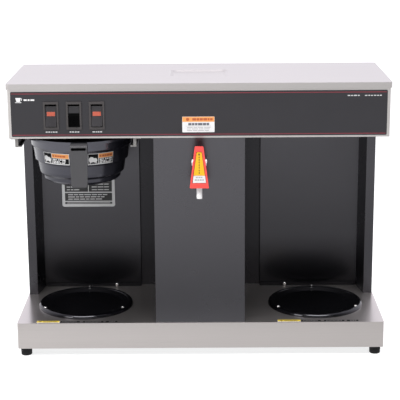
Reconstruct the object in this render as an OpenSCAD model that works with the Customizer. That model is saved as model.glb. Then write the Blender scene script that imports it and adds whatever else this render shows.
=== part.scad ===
// Low-profile automatic coffee brewer with two lower warmers and a hot-water faucet.
// Millimetres. +X is the operator's right, +Y the back, +Z up.
// Z = 0 is the counter, and X = Y = 0 is the middle of the overall footprint.

/* [Base] */
// Width of the base tray and the hood
base_w = 604; // [580:1:640]
// Depth of the base tray and the hood
base_d = 214; // [212:1:220]
// Height of the rubber feet
foot_h = 15; // [13:1:16]
// Height of the base tray's skirt
tray_h = 44; // [43:1:52]

/* [Trunk] */
// Clear height between the base tray and the hood
bay_h = 310; // [305:1:330]
// Width of the centre column
column_w = 146; // [140:1:150]
// Distance from the base's front edge to the side posts
post_y = 150; // [140:1:155]
// Distance from the base's front edge to the bay panels
bay_y = 197; // [195:1:198]

/* [Hood] */
// Height of the hood's wrap, under the lid's top sheet
hood_h = 86; // [82:1:90]
// Height of the lid's skirt
lid_skirt = 9; // [7:1:12]
// Height of the black control overlay
overlay_h = 72; // [66:1:72]

/* [Stations] */
// Distance of each warmer's centre from the middle
station_x = 196.5; // [190:0.5:198]
// Distance of each warmer's centre from the base's front edge
station_y = 99; // [97:1:101]
// Radius of a warmer plate's rim
warmer_r = 80.5; // [76:0.5:81]

/* [Switches] */
// Distance between neighbouring switches
switch_pitch = 36.2; // [32:0.1:40]
// How far a rocker leans at either end of its travel, in degrees
rocker_tilt = 9; // [6:1:10]

/* [Hidden] */
$fn = 64;

sheet = 1.2;        // sheet metal thickness
gap = 0.2;          // assembly clearance between neighbouring pieces
screw_r = 2;        // shank radius of the small sheet-metal screws
head_r = 3.4;       // head radius of the same screws

tray_z = foot_h + tray_h;
hood_z = tray_z + bay_h;
wrap_top = hood_z + hood_h;
lid_top = wrap_top + gap + sheet;
column_half = column_w / 2;
post_half = base_w / 2 - 1.5;
channel_y = base_d - 8;          // the sheet behind the bay panels, either side of the column
channel_half = column_half + 33;
rear_y = base_d - 1.6;           // the rear cover's inner face
floor_z = hood_z + 0.1;

// Faucet
pivot_y = -24;
pivot_z = hood_z - 35;
shank_z = pivot_z - 20;
handle_face_y = pivot_y - 12;
label_t = 0.4;

// Cord bundle behind the rear cover
cord_r = 4.2;
cord_y = base_d + 8;
cord_x = 150;

// The overall footprint runs from the faucet handle's face to the end of the inlet fitting
inlet_end_y = rear_y + sheet + 18;
front_y = -(handle_face_y + inlet_end_y) / 2;

// Moves a piece from the base's front edge to the part's own frame
module in_frame() {
    translate([0, front_y, 0]) children();
}

// ---- shared shapes ----

function unit(v) = v / norm(v);
function left_of(a, b) = let (d = unit(b - a)) [-d.y, d.x];
function mitre(p, i, t) =
    i == 0 ? p[0] + t * left_of(p[0], p[1])
    : i == len(p) - 1 ? p[i] + t * left_of(p[i - 1], p[i])
    : let (m = left_of(p[i - 1], p[i]), n = left_of(p[i], p[i + 1])) p[i] + t * (m + n) / (1 + m * n);
function arc(c, r, a0, a1, n = 8) =
    [for (i = [0:n]) let (a = a0 + (a1 - a0) * i / n) c + r * [cos(a), sin(a)]];

// A folded sheet seen from above: path is its outer face, and the sheet lies to the left of it
module folded_sheet(path, h, t = sheet) {
    linear_extrude(h) polygon([each path, for (i = [len(path) - 1:-1:0]) mitre(path, i, t)]);
}

module rounded_rect(w, d, r) {
    square([w - 2 * r, d], center = true);
    square([w, d - 2 * r], center = true);
    for (x = [-1, 1], y = [-1, 1]) translate([x * (w / 2 - r), y * (d / 2 - r)]) circle(r);
}

// A rounded slab over the base's footprint, grown by margin on every side
module footprint(z, h, margin, r) {
    translate([0, base_d / 2, z]) linear_extrude(h) rounded_rect(base_w + 2 * margin, base_d + 2 * margin, r);
}

// A box given by its lowest and highest corners
module block(lo, hi) {
    translate(lo) cube(hi - lo);
}

// A cylinder along +Y from y0 to y1
module rod_y(x, z, r, y0, y1) {
    translate([x, y0, z]) rotate([-90, 0, 0]) cylinder(r = r, h = y1 - y0);
}

// A cylinder along +X from x0 to x1
module rod_x(y, z, r, x0, x1) {
    translate([x0, y, z]) rotate([0, 90, 0]) cylinder(r = r, h = x1 - x0);
}

// A pan-head screw standing on z = 0, with its shank below
module pan_screw(shank = 8, r = screw_r, head = head_r) {
    translate([0, 0, -shank]) cylinder(r = r, h = shank + 0.1);
    difference() {
        union() {
            cylinder(r = head, h = 1);
            translate([0, 0, 1]) cylinder(r1 = head, r2 = head * 0.7, h = 0.8);
        }
        for (a = [0, 90]) rotate(a) translate([-head * 0.55, -0.4, 1]) cube([head * 1.1, 0.8, 2]);
    }
}

// A tube through the given points, with a slightly larger elbow at each corner
module pipe(points, r) {
    for (i = [0:len(points) - 2]) {
        d = points[i + 1] - points[i];
        translate(points[i])
            rotate([0, acos(d.z / norm(d)), atan2(d.y, d.x)])
                cylinder(r = r, h = norm(d), $fn = 32);
    }
    for (i = [1:1:len(points) - 2]) translate(points[i]) sphere(r * 1.15, $fn = 32);
}

module at_stations() {
    for (side = [-1, 1]) translate([side * station_x, station_y, 0]) children();
}

// ---- base ----

tray_hole_r = 60;
riser = [62, 190];       // where each warmer's wires rise behind the tank
feet_x = base_w / 2 - 12;
feet_y = [16, base_d - 16];

module base_tray() color("silver") in_frame() difference() {
    footprint(foot_h, tray_h, 0, 3);
    footprint(foot_h - 1, tray_h + 1 - sheet, -sheet, 2);
    at_stations() translate([0, 0, tray_z - 5]) cylinder(r = tray_hole_r, h = 10);
    at_stations() warmer_screw_places() translate([0, 0, tray_z - 5]) cylinder(r = screw_r + 0.2, h = 10);
    for (side = [-1, 1]) translate([side * riser.x, riser.y, tray_z - 5]) cylinder(r = 4, h = 10);
}

module base_pan() color("gainsboro") in_frame() difference() {
    footprint(foot_h, sheet, -sheet - 0.3, 1.5);
    feet_places() translate([0, 0, foot_h - 1]) cylinder(r = 2.6, h = 4);
    at_stations() for (i = [-3:3])
        translate([i * 14, 0, foot_h - 1]) linear_extrude(4) rounded_rect(5, 70, 2.4);
}

module feet_places() {
    for (x = [-feet_x, feet_x], y = feet_y) translate([x, y, 0]) children();
}

module rubber_feet() color("black") in_frame() feet_places() {
    rotate_extrude() polygon([
        [4.8, 0], [8.2, 0], [9, 1], [9.4, foot_h - 2], [9.4, foot_h], [2.6, foot_h], [2.6, 4], [4.8, 4]
    ]);
}

module foot_screws() color("silver") in_frame() feet_places() {
    difference() {
        union() {
            translate([0, 0, 1.8]) cylinder(r = 4.4, h = 2.2);
            translate([0, 0, 3.9]) cylinder(r = 2.4, h = foot_h + 4);
        }
        translate([-3, -0.5, 1]) cube([6, 1, 1.8]);
    }
    translate([0, 0, foot_h + sheet + 0.1]) difference() {
        cylinder(r = 4.6, h = 3, $fn = 6);
        translate([0, 0, -1]) cylinder(r = 2.5, h = 5);
    }
}

// ---- warmers ----

rim_r = 5.4;             // radius of the rolled rim's section
rim_top = 6.2;           // height of the rim above the tray
dish_r = 60;             // radius of the flat seat
dish_z = 2.4;            // height of the seat above the tray
plate_t = 1.4;
stud_circle = warmer_r - rim_r;

module warmer_screw_places() {
    for (a = [90, 210, 330]) rotate(a) translate([stud_circle, 0, 0]) children();
}

// A shallow pan with a rolled rim, standing on the tray
module warmer_plate(side) {
    rim_c = [warmer_r - rim_r, rim_top - rim_r];
    in_frame() translate([side * station_x, station_y, tray_z]) difference() {
        rotate_extrude($fn = 96) polygon([
            [0, dish_z], [dish_r, dish_z],
            each arc(rim_c, rim_r, 128, 0),
            [warmer_r, 0.1], [warmer_r - plate_t, 0.1],
            each arc(rim_c, rim_r - plate_t, 0, 128),
            [dish_r + 0.5, dish_z - plate_t], [0, dish_z - plate_t]
        ]);
        warmer_screw_places() translate([0, 0, -2]) cylinder(r = screw_r + 0.2, h = 12);
    }
}

module warmer_plate_left() color("black") warmer_plate(-1);
module warmer_plate_right() color("black") warmer_plate(1);

// Flat mica-wound heating discs under the seats, each with two blade terminals
module warmer_elements() color("tan") in_frame() at_stations() translate([0, 0, tray_z]) {
    translate([0, 0, -2.4]) cylinder(r = dish_r - 4, h = dish_z - plate_t + 2.3);
    for (x = [-8, 8]) block([x - 3, 30, -10], [x + 3, 30.8, -2.3]);
}

// Spring bars that press each element up against its plate
module element_clamps() color("lightgray") in_frame() at_stations() translate([0, 0, tray_z]) {
    difference() {
        union() {
            block([-66, -11, -4], [66, 11, -2.6]);
            for (side = [-1, 1]) block([side * 66 - 1, -11, -4], [side * 66 + 1, 11, -1.4]);
        }
        cylinder(r = 6, h = 20, center = true);
    }
}

module warmer_screws() color("silver") in_frame() at_stations() warmer_screw_places() {
    translate([0, 0, tray_z + rim_top + 0.05]) pan_screw(shank = 10, head = 2.7);
}

// ---- trunk ----

module trunk_post(side) {
    path = [
        [-post_half + 11, rear_y - 0.2], [-post_half, rear_y - 0.2], [-post_half, post_y],
        [-post_half + 15, post_y], [-post_half + 23, bay_y - gap]
    ];
    in_frame() mirror([side > 0 ? 1 : 0, 0, 0])
        translate([0, 0, tray_z + 0.05]) folded_sheet(path, bay_h - 0.1);
}

module trunk_post_left() color("dimgray") trunk_post(-1);
module trunk_post_right() color("dimgray") trunk_post(1);

lip_h = 7;
lip_t = 1.6;
lip_screw_x = 150;

// The black panel at the back of a decanter bay, with its thick bottom lip
module bay_panel(side) {
    path = [[-post_half + 22, bay_y], [-channel_half, bay_y], [-channel_half, channel_y - gap]];
    lip_lo = [-post_half + 26, bay_y - lip_t, tray_z + 0.1];
    lip_hi = [-channel_half - 1, bay_y + 0.1, tray_z + lip_h];
    in_frame() mirror([side > 0 ? 1 : 0, 0, 0]) difference() {
        union() {
            translate([0, 0, tray_z + 0.1]) folded_sheet(path, bay_h - 0.2);
            block(lip_lo, lip_hi);
        }
        rod_y(-lip_screw_x, tray_z + lip_h / 2, screw_r + 0.1, bay_y - 5, bay_y + 5);
    }
}

module bay_panel_left() color("dimgray") bay_panel(-1);
module bay_panel_right() color("dimgray") bay_panel(1);

module column_cover() color("dimgray") in_frame() difference() {
    translate([0, 0, tray_z + 0.05]) folded_sheet([
        [-channel_half, channel_y], [-column_half, channel_y], [-column_half, 2],
        [column_half, 2], [column_half, channel_y], [channel_half, channel_y]
    ], bay_h - 0.1);
    rod_y(0, shank_z, 8.2, -1, 10);
}

rear_screw_x = [-280, -95, 95, 280];
rear_screw_z = [tray_z + 12, hood_z - 12];
inlet_x = 45;
inlet_z = tray_z + 36;
cord_hole_z = tray_z + 36;
cord_rise_y = rear_y - 7.6;

module rear_cover() color("silver") in_frame() difference() {
    block([-post_half + 1.6, rear_y, tray_z + 0.1], [post_half - 1.6, rear_y + sheet, hood_z - 0.1]);
    for (x = rear_screw_x, z = rear_screw_z) rod_y(x, z, screw_r + 0.1, rear_y - 5, rear_y + 5);
    for (side = [-1, 1], i = [0:7])
        translate([side * station_x, rear_y, hood_z - 88.5 + 8 * i]) cube([80, 10, 3], center = true);
    rod_y(inlet_x, inlet_z, 8.2, rear_y - 5, rear_y + 5);
    rod_y(cord_x, cord_hole_z, 8.2, rear_y - 5, rear_y + 5);
}

// The sheet-metal screws of the rear cover, the bay panels, the lid and the funnel rails
module panel_screws() color("silver") in_frame() {
    for (x = rear_screw_x, z = rear_screw_z)
        translate([x, rear_y + sheet, z]) rotate([-90, 0, 0]) pan_screw(shank = 5);
    for (side = [-1, 1]) {
        translate([side * lip_screw_x, bay_y - lip_t, tray_z + lip_h / 2])
            rotate([90, 0, 0]) pan_screw(shank = 6, head = 3);
        translate([side * (base_w / 2 + 2), lid_screw_y, lid_screw_z])
            rotate([0, side * 90, 0]) pan_screw(shank = 6);
    }
    rail_screw_places() translate([0, 0, hood_z - 2]) rotate([180, 0, 0]) pan_screw(shank = 6, head = 3);
}

// ---- hood ----

switch_x = [for (i = [-1:1]) -197.5 + i * switch_pitch];
switch_z = hood_z + 37;
overlay_z = hood_z + 3;
bezel = [24, 44.5];
body_w = 20.4;
body_h = 39;

module switch_cutouts(margin) {
    for (x = switch_x)
        block([x - body_w / 2 - margin, -5, switch_z - body_h / 2 - margin],
              [x + body_w / 2 + margin, 5, switch_z + body_h / 2 + margin]);
}

// The stainless wrap: a four-sided box with a return along its bottom edge
module hood_wrap() color("silver") in_frame() difference() {
    footprint(hood_z, hood_h, 0, 2);
    footprint(hood_z - 1, hood_h + 2, -sheet, 1);
    switch_cutouts(0.2);
    for (i = [0:5])
        block([80, base_d - 5, hood_z + 18 + 8 * i], [220, base_d + 5, hood_z + 21 + 8 * i]);
    lid_screw_bores();
}

module hood_floor() color("silver") in_frame() difference() {
    footprint(floor_z, sheet, -sheet - gap, 1);
    block([-column_half + 6, 10, floor_z - 1], [column_half - 6, riser.y + 14, floor_z + 3]);
    translate([-station_x, station_y, floor_z - 1]) cylinder(r = 6.8, h = 4);
    rail_screw_places() translate([0, 0, floor_z - 1]) cylinder(r = screw_r + 0.1, h = 4);
    translate([cord_x, cord_rise_y, floor_z - 1]) cylinder(r = cord_r + 0.4, h = 4);
}

module lid_screw_bores() {
    for (side = [-1, 1])
        translate([side * base_w / 2, lid_screw_y, lid_screw_z])
            rotate([0, 90, 0]) cylinder(r = screw_r + 0.1, h = 10, center = true);
}

recess = [94, 72];
recess_y = 107;
recess_depth = 2.5;
recess_slope = 5;        // width of the recess's sloping walls, seen from above
lid_screw_y = 113;
lid_screw_z = lid_top - lid_skirt / 2;

// A rounded rectangle that widens upwards from z, over height h
module recess_dish(z, h, margin) {
    top = recess + [2 * margin, 2 * margin];
    low = top - [2 * recess_slope, 2 * recess_slope];
    hull() {
        translate([0, recess_y, z]) linear_extrude(0.01) rounded_rect(low.x, low.y, 6);
        translate([0, recess_y, z + h - 0.01]) linear_extrude(0.01) rounded_rect(top.x, top.y, 9);
    }
}

// The lid is a shallow stamped pan, upside down, with a rectangular dished area above the tank
module top_lid() color("silver") in_frame() difference() {
    union() {
        difference() {
            footprint(lid_top - lid_skirt, lid_skirt, 2, 4);
            footprint(lid_top - lid_skirt - 1, lid_skirt + 1 - sheet, 2 - sheet, 3);
        }
        recess_dish(lid_top - sheet - recess_depth, recess_depth + sheet / 2, sheet);
    }
    recess_dish(lid_top - recess_depth, recess_depth + 0.01, 0);
    lid_screw_bores();
}

// A thin black polycarbonate label over the front of the hood
module control_overlay() color("dimgray") in_frame() difference() {
    translate([0, 0, overlay_z + overlay_h / 2])
        rotate([90, 0, 0]) linear_extrude(0.6) rounded_rect(base_w - 10, overlay_h, 2);
    switch_cutouts(0.3);
}

// ---- rocker switches ----

rocker_y = 0;            // the pivots lie in the plane of the hood's face
rocker_drop = 1.5;       // the pivots sit this much below the middle of the opening
rocker_half = 16.2;
rocker_w = 17.2;
opening_half = [9.2, 18.2];

module switch_housings() color("dimgray") in_frame() at_switches() difference() {
    union() {
        block([-bezel.x / 2, -2.8, -bezel.y / 2], [bezel.x / 2, -0.6, bezel.y / 2]);
        block([-body_w / 2, -0.7, -body_h / 2], [body_w / 2, 20, body_h / 2]);
    }
    block([-opening_half.x, -5, -opening_half.y], [opening_half.x, 17, opening_half.y]);
    rod_x(rocker_y, -rocker_drop, 1.3, -10, 10);
}

module at_switches() {
    for (x = switch_x) translate([x, 0, switch_z]) children();
}

module at_rocker(i) {
    translate([switch_x[i], rocker_y, switch_z - rocker_drop]) rotate([-rocker_tilt, 0, 0]) children();
}

module switch_terminals() color("goldenrod") in_frame() for (x = switch_x, z = [-11, 0, 11])
    block([x - 3, 20.1, switch_z + z - 0.4], [x + 3, 29, switch_z + z + 0.4]);

// Front face of a rocker at height z above its pivot: a shallow V
function rocker_face(z) = -1.4 - 1.2 * abs(z) / rocker_half;

// One rocker about its pivot, leaning back at the top
module rocker(i) {
    in_frame() at_rocker(i) {
        difference() {
            rotate([90, 0, 90]) translate([0, 0, -rocker_w / 2]) linear_extrude(rocker_w) polygon([
                [rocker_face(rocker_half), -rocker_half], [rocker_face(0), 0],
                [rocker_face(rocker_half), rocker_half],
                [1, rocker_half], [5, 8], [6.5, 0], [5, -8], [1, -rocker_half]
            ]);
            children();
        }
        for (side = [-1, 1])
            translate([side * rocker_w / 2, 0, 0])
                rotate([0, 90, 0]) cylinder(r = 1.25, h = 2.4, center = true);
    }
}

lens_half_w = 6.5;
lens_z = [0.6, 7.2];

module lens_pocket() {
    block([-lens_half_w - 0.1, -4, lens_z[0] - 0.1], [lens_half_w + 0.1, 0.2, lens_z[1] + 0.1]);
}

module power_rocker() color("dimgray") rocker(0) lens_pocket();
module warmer_rocker() color("dimgray") rocker(2) lens_pocket();

// The momentary rocker has fine ribs across its lower half
module start_rocker() color("black") rocker(1)
    for (z = [-14.2:1.6:-6.2])
        block([-7.6, -4, z - 0.4], [7.6, rocker_face(z) + 0.35, z + 0.4]);

// The red window that glows when the switch is on
module rocker_lens(i) {
    in_frame() at_rocker(i)
        rotate([90, 0, 90]) translate([0, 0, -lens_half_w]) linear_extrude(2 * lens_half_w) polygon([
            [0.1, lens_z[0]], [rocker_face(0) - 0.5, lens_z[0]],
            [rocker_face(lens_z[1]) - 0.5, lens_z[1]], [0.1, lens_z[1]]
        ]);
}

module power_lens() color("orangered") rocker_lens(0);
module warmer_lens() color("orangered") rocker_lens(2);

// ---- plates without lettering ----

rating_size = [93, 78];
strip_w = 38;            // the tray's plates, one before each warmer
strip_d = 8;

module rating_plate() color("gainsboro") in_frame()
    translate([-station_x, bay_y, tray_z + 147.5 + rating_size.y / 2])
        rotate([90, 0, 0]) linear_extrude(label_t) rounded_rect(rating_size.x, rating_size.y, 4);

module caution_plates() color("orange") in_frame() {
    translate([-1, -0.6, hood_z + 21.5]) rotate([90, 0, 0]) linear_extrude(label_t) rounded_rect(51, 25, 1);
    for (x = [-station_x - 73.8, station_x - 69])
        block([x, 3, tray_z], [x + strip_w, 3 + strip_d, tray_z + label_t]);
}

// ---- brew funnel and its rails ----

funnel_top = hood_z - 8.5;
flange_t = 4;
flange_r = 91;
wall = 2.4;

// Outer wall of the funnel below its flange, from the top down, in steps
function tiers(c = 0) = [
    [83 + c, funnel_top - flange_t], [83 + c, funnel_top - 16.5], [79.8 + c, funnel_top - 20.5],
    [77.2 + c, funnel_top - 41], [73 + c, funnel_top - 44], [72.4 + c, funnel_top - 48.5],
    [71 + c, funnel_top - 58.5], [70 + c, funnel_top - 63], [65 + c, funnel_top - 67.5],
    [64.4 + c, funnel_top - 70.5]
];
belly_z = funnel_top - 70.5;

// The rounded bottom edge, c millimetres outside the outer wall
function belly(c = 0) = [
    [63.9 + c, belly_z - 2.5 - c / 2], [61 + c * 0.8, belly_z - 5.5 - c * 0.6],
    [54 + c * 0.5, belly_z - 8.7 - c * 0.9], [46, belly_z - 10 - c]
];
outlet_z = belly_z - 17;

module at_funnel(turn = 0) {
    translate([-station_x, station_y, 0]) rotate(turn) children();
}

module brew_funnel() color("#2b2b2e") in_frame() at_funnel(handle_turn) difference() {
    rotate_extrude($fn = 128) polygon([
        [flange_r, funnel_top], [flange_r, funnel_top - flange_t],
        each tiers(),
        each belly(),
        [10, belly_z - 11.5], [7.5, outlet_z], [4.5, outlet_z], [4.5, belly_z - 9],
        each [for (i = [3:-1:0]) belly(-wall)[i]],
        each [for (i = [len(tiers()) - 1:-1:1]) tiers(-wall)[i]],
        [83 - wall, funnel_top]
    ]);
    for (x = [-8, 8]) rod_y(x, screw_z, 2, -90, -70);
}

handle_turn = 3;         // the funnel sits turned a little, so its handle points right of straight ahead
grip_w = 27;
grip_y = -116.5;         // front face of the grip, from the funnel's axis
grip_top = funnel_top - 1;
grip_h = 68;
screw_z = funnel_top - 11;

// The handle runs out beside the flange and turns down into a flat grip with a finger slot
module funnel_handle() color("#3a3a3d") in_frame() at_funnel(handle_turn) difference() {
    union() {
        intersection() {
            rotate([90, 0, 90]) translate([0, 0, -grip_w / 2]) linear_extrude(grip_w) polygon([
                [-78, funnel_top - 4.2], [-flange_r - 0.4, funnel_top - 4.2], [-flange_r - 0.4, grip_top],
                each arc([grip_y + 1.8, grip_top - 1.8], 1.8, 90, 175, 5),
                [grip_y, grip_top - 42], each arc([grip_y + 2.2, grip_top - grip_h + 2.2], 2.2, 180, 350, 6),
                [grip_y + 4.4, grip_top - 42],
                each arc([grip_y + 8.5, grip_top - 14], 4, 180, 95, 5),
                [-88, grip_top - 10], [-86, funnel_top - 20], [-78, funnel_top - 20]
            ]);
            grip_outline();
        }
        rotate([90, 0, 90]) translate([0, 0, -2.5]) linear_extrude(5) polygon([
            [-70, screw_z], [grip_y + 6, screw_z], [grip_y + 3, funnel_top - 50], [-70, funnel_top - 40]
        ]);
    }
    rotate_extrude($fn = 128) polygon([each tiers(0.15), [0, belly_z], [0, funnel_top - flange_t]]);
    for (x = [-8, 8]) rod_y(x, screw_z, screw_r - 0.1, -100, -70);
    hull() for (x = [-9.6, 9.6]) rod_y(x, grip_top - 5, 2.4, -130, -102);
}

// The handle seen from the front: slightly narrower towards its rounded lower end
module grip_outline() {
    low = grip_top - grip_h;
    rotate([90, 0, 0]) linear_extrude(130) hull() {
        translate([-grip_w / 2, grip_top - 30]) square([grip_w, 31]);
        for (x = [-1, 1]) translate([x * (grip_w / 2 - 6.6), low + 6]) circle(6);
    }
}

module handle_screws() color("silver") in_frame() at_funnel(handle_turn) for (x = [-8, 8])
    translate([x, -79.6, screw_z]) rotate([-90, 0, 0]) pan_screw(shank = 14, r = screw_r - 0.2, head = 3);

rail_y = [5, post_y - 2];
rail_screw_y = [24, 130];
rail_screw_x = flange_r + 8.8;
rail_t = 5;
rail_lip = 2.2;
lip_z = funnel_top - flange_t - 0.2;     // top of the lips that carry the flange

module rail_screw_places() {
    for (side = [-1, 1], y = rail_screw_y)
        translate([-station_x + side * rail_screw_x, y, 0]) children();
}

// An extruded Z-section rail hung from the hood's floor; the funnel's flange slides on its inner lip
module funnel_rail(side) {
    web = flange_r + 0.6;
    in_frame() translate([-station_x, rail_y[0], 0]) mirror([side < 0 ? 1 : 0, 0, 0]) difference() {
        rotate([90, 0, 0]) mirror([0, 0, 1]) linear_extrude(rail_y[1] - rail_y[0]) polygon([
            [flange_r - 4, lip_z - rail_lip], [web + rail_t, lip_z - rail_lip], [web + rail_t, hood_z - 2],
            [rail_screw_x + 3.8, hood_z - 2], [rail_screw_x + 3.8, hood_z], [web, hood_z],
            [web, lip_z], [flange_r - 4, lip_z]
        ]);
        for (y = rail_screw_y)
            translate([rail_screw_x, y - rail_y[0], hood_z - 5]) cylinder(r = screw_r + 0.1, h = 10);
    }
}

module funnel_rail_left() color("silver") funnel_rail(-1);
module funnel_rail_right() color("silver") funnel_rail(1);

spray_z = funnel_top + 1.5;

module sprayhead() color("silver") in_frame() at_funnel() difference() {
    rotate_extrude() polygon([
        [0, spray_z], [24, spray_z], [24, spray_z + 2], [9, spray_z + 6.6], [6.4, spray_z + 6.6],
        [6.4, floor_z + 16], [3.5, floor_z + 16], [3.5, spray_z + 4],
        [16, spray_z + 2.4], [16, spray_z + 1.2], [0, spray_z + 1.2]
    ]);
    for (i = [0:5]) rotate(60 * i) translate([12, 0, spray_z - 1]) cylinder(r = 1.2, h = 2.5, $fn = 16);
    translate([0, 0, spray_z - 1]) cylinder(r = 1.2, h = 2.5, $fn = 16);
}

module sprayhead_seal() color("darkred") in_frame() at_funnel()
translate([0, 0, floor_z + sheet]) difference() {
    cylinder(r = 11, h = 2);
    translate([0, 0, -1]) cylinder(r = 6.6, h = 4);
}

// ---- hot-water faucet ----

barrel_r = 8;
cheek_in = 8.6;
cheek_out = 10.2;
ear_out = 11.8;

module faucet_body() color("white") in_frame() difference() {
    union() {
        rod_y(0, shank_z, 7.8, pivot_y, 18);
        rod_y(0, shank_z, 10, -2.6, 1.9);
        translate([0, pivot_y, shank_z - 17]) cylinder(r = barrel_r, h = 25);
        for (side = [0, 1]) mirror([side, 0, 0]) {
            rod_x(pivot_y, pivot_z, 5, cheek_in, ear_out);
            block([cheek_in, pivot_y - 5, shank_z - 2], [cheek_out, pivot_y + 5, pivot_z]);
        }
        block([-cheek_out, pivot_y - 5, shank_z - 2], [cheek_out, pivot_y + 5, shank_z + 4]);
    }
    translate([0, pivot_y, shank_z - 20]) cylinder(r = 5.6, h = 22);
    translate([0, pivot_y, shank_z]) cylinder(r = 2.5, h = 20);
    rod_y(0, shank_z - 4, 3, pivot_y, 30);
    rod_x(pivot_y, pivot_z, 1.65, -20, 20);
}

module faucet_spout() color("silver") in_frame() translate([0, pivot_y, shank_z - 38]) difference() {
    union() {
        cylinder(r = 4.6, h = 20.9);
        translate([0, 0, 20.8]) cylinder(r = 5.5, h = 7);
    }
    translate([0, 0, -1]) cylinder(r = 3.4, h = 40);
}

// The stem rises as the handle is pulled, and lifts the cup off the spout's seat
module faucet_stem() color("silver") in_frame() translate([0, pivot_y, 0]) {
    translate([0, 0, shank_z - 7]) cylinder(r = 2.42, h = pivot_z - 6 - (shank_z - 7));
}

module faucet_seat_cup() color("ivory") in_frame() translate([0, pivot_y, shank_z - 10.15]) difference() {
    cylinder(r = 5, h = 6);
    translate([0, 0, 3.1]) cylinder(r = 2.44, h = 6);
}

handle_low = 39;    // lower end of the handle below the pivot
handle_up = 28;     // upper end above the pivot
handle_recess = 0.4;    // depth of the flat that takes the label

// Front of the handle between two heights, at a distance inside its flared edge
module handle_front(low, high, inset = 0) {
    function half(z) = 6.7 + (handle_up - z) * 8.4 / (handle_up + handle_low) - inset;
    right = [
        [half(high) - 1, high], [half(high - 1), high - 1], [half(low + 1), low + 1], [half(low) - 1, low]
    ];
    polygon([each right, each [for (i = [3:-1:0]) [-right[i].x, right[i].y]]]);
}

// A flared red paddle whose hub turns on the pin between the body's cheeks
module faucet_handle() color("red") in_frame() translate([0, pivot_y, pivot_z]) difference() {
    union() {
        translate([0, -9, 0]) rotate([90, 0, 0]) linear_extrude(3) handle_front(-handle_low, handle_up);
        rod_x(0, 0, 4.1, -8.3, 8.3);
        block([-5, -9.1, -3], [5, 0, 3.6]);
    }
    translate([0, -12 + handle_recess, 0])
        rotate([90, 0, 0]) linear_extrude(5) handle_front(7.5 - handle_low, handle_up - 8, 2.2);
    rod_x(0, 0, 1.65, -20, 20);
    block([-2.8, -5.5, -6], [2.8, 6, 6]);
}

module faucet_pin() color("silver") in_frame() rod_x(pivot_y, pivot_z, 1.6, -ear_out - 0.4, ear_out + 0.4);

// A hex nut on the shank, inside the column
module faucet_nut() color("goldenrod") in_frame()
translate([0, 3.4, shank_z]) rotate([-90, 0, 0]) difference() {
    cylinder(r = 14, h = 6, $fn = 6);
    translate([0, 0, -1]) cylinder(r = 7.9, h = 8);
}

// ---- tank ----

tank_r = 62;
tank_y = 110;
tank_z = tray_z + gap;
tank_h = 262;
tank_top = tank_z + tank_h;
bolt_circle = 67;

module at_tank(z) {
    in_frame() translate([0, tank_y, z]) children();
}

module tank() color("lightgray") at_tank(tank_z) difference() {
    union() {
        cylinder(r = tank_r, h = tank_h, $fn = 96);
        translate([0, 0, tank_h - 2]) cylinder(r = 70, h = 2, $fn = 96);
    }
    translate([0, 0, 1]) cylinder(r = tank_r - 1, h = tank_h, $fn = 96);
    bolt_places() translate([0, 0, tank_h - 5]) cylinder(r = 1.7, h = 10);
}

module bolt_places() {
    for (i = [0:7]) rotate(22.5 + 45 * i) translate([bolt_circle - 0.6, 0, 0]) children();
}

module tank_gasket() color("gray") at_tank(tank_top) difference() {
    cylinder(r = 70, h = 2, $fn = 96);
    translate([0, 0, -1]) cylinder(r = tank_r - 1, h = 4, $fn = 96);
    bolt_places() translate([0, 0, -1]) cylinder(r = 1.7, h = 4);
}

lid_ports = [[-36, 0], [36, 0], [0, 36], [0, -46], [-24, -30], [24, -30]];
port_r = 5;

module tank_lid() color("silver") at_tank(tank_top + 2) difference() {
    cylinder(r = 70, h = 2, $fn = 96);
    bolt_places() translate([0, 0, -1]) cylinder(r = 1.7, h = 4);
    for (p = lid_ports) translate([p.x, p.y, -1]) cylinder(r = port_r, h = 4);
}

module tank_bolts() color("silver") at_tank(tank_top) bolt_places() {
    translate([0, 0, -8]) cylinder(r = 1.5, h = 15, $fn = 24);
    translate([0, 0, 4.05]) cylinder(r = 3.2, h = 2.4, $fn = 6);
    translate([0, 0, -4.5]) cylinder(r = 3.2, h = 2.4, $fn = 6);
}

// An immersion heater: one hairpin with its two ends through the lid
module heater_element() color("dimgray") at_tank(0) {
    for (x = [-24, 24]) translate([x, -30, tank_z + 56]) cylinder(r = 4, h = tank_top - tank_z - 36);
    translate([0, -30, tank_z + 56])
        rotate([-90, 0, 0]) rotate_extrude(angle = 180) translate([24, 0]) circle(4);
    for (x = [-24, 24]) translate([x, -30, tank_top + 4.1]) difference() {
        cylinder(r = 9, h = 5, $fn = 6);
        translate([0, 0, -1]) cylinder(r = 4.4, h = 7);
    }
}

// ---- controls and plumbing inside the hood ----

thermostat_at = [225, 60, floor_z + sheet];

// Control thermostat with a capillary to a bulb in the tank
module thermostat() color("lightsteelblue") in_frame() {
    translate(thermostat_at) difference() {
        union() {
            block([-24, -17, 0.1], [24, 17, 26]);
            cylinder(r = 9, h = 29);
        }
        translate([0, 0, 20]) cylinder(r = 3.05, h = 20);
    }
    translate([36, tank_y, tank_z + 120]) cylinder(r = 3.2, h = tank_top - tank_z - 90);
    pipe([[36, tank_y, tank_top + 20], [36, tank_y, floor_z + 40], [190, tank_y, floor_z + 40],
          [190, 60, floor_z + 40], [190, 60, floor_z + 15], [203, 60, floor_z + 15]], 1.5);
}

module thermostat_knob() color("black") in_frame() translate(thermostat_at) {
    translate([0, 0, 20.5]) cylinder(r = 3, h = 12);
    difference() {
        translate([0, 0, 30]) cylinder(r1 = 15, r2 = 13, h = 12);
        translate([-1, 4, 40.5]) cube([2, 12, 5]);
        for (i = [0:11]) rotate(30 * i + 15) translate([16, 0, 29]) cylinder(r = 2.4, h = 15, $fn = 24);
    }
}

valve_at = [-105, 176, floor_z + sheet];

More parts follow.
